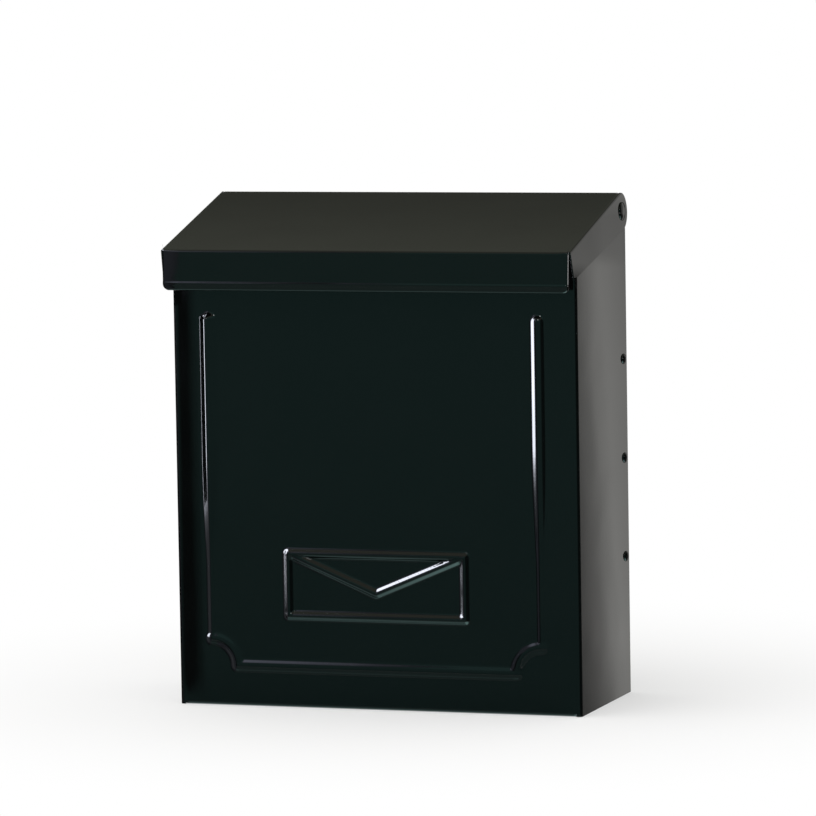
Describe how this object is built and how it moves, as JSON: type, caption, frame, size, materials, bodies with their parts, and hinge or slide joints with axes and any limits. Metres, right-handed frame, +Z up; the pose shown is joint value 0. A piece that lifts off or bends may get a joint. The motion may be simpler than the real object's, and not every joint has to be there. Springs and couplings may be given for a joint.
{
  "type": "vertical wall mailbox",
  "caption": "Small upright wall mailbox of folded sheet steel with a sloping hinged lid, a pressed bead frame and a pressed envelope on its front.",
  "frame": {"origin": "on the wall plane, at the middle of the four wall holes", "axes": "+Z up, +Y into the wall, +X to the right as seen from the front"},
  "size_m": [0.1952, 0.0905, 0.2285],
  "materials": {
    "housing_enamel": "gloss black enamel on folded sheet steel",
    "lid_enamel": "gloss black enamel on folded sheet steel",
    "rivet_enamel": "gloss black enamel on steel rivets"
  },
  "bodies": {
    "housing": {"body_shell": "housing_enamel", "back_and_floor": "housing_enamel", "hinge_rivet_left": "rivet_enamel", "hinge_rivet_right": "rivet_enamel", "side_rivet_left_lower": "rivet_enamel", "side_rivet_left_middle": "rivet_enamel", "side_rivet_left_upper": "rivet_enamel", "side_rivet_right_lower": "rivet_enamel", "side_rivet_right_middle": "rivet_enamel", "side_rivet_right_upper": "rivet_enamel"},
    "lid": {"lid": "lid_enamel"}
  },
  "joints": [
    {"name": "lid_hinge", "type": "hinge", "parent": "housing", "child": "lid", "pos_m": [0, -0.0095, 0.1051], "axis": [-1, 0, 0], "range_deg": [0, 105]}
  ]
}
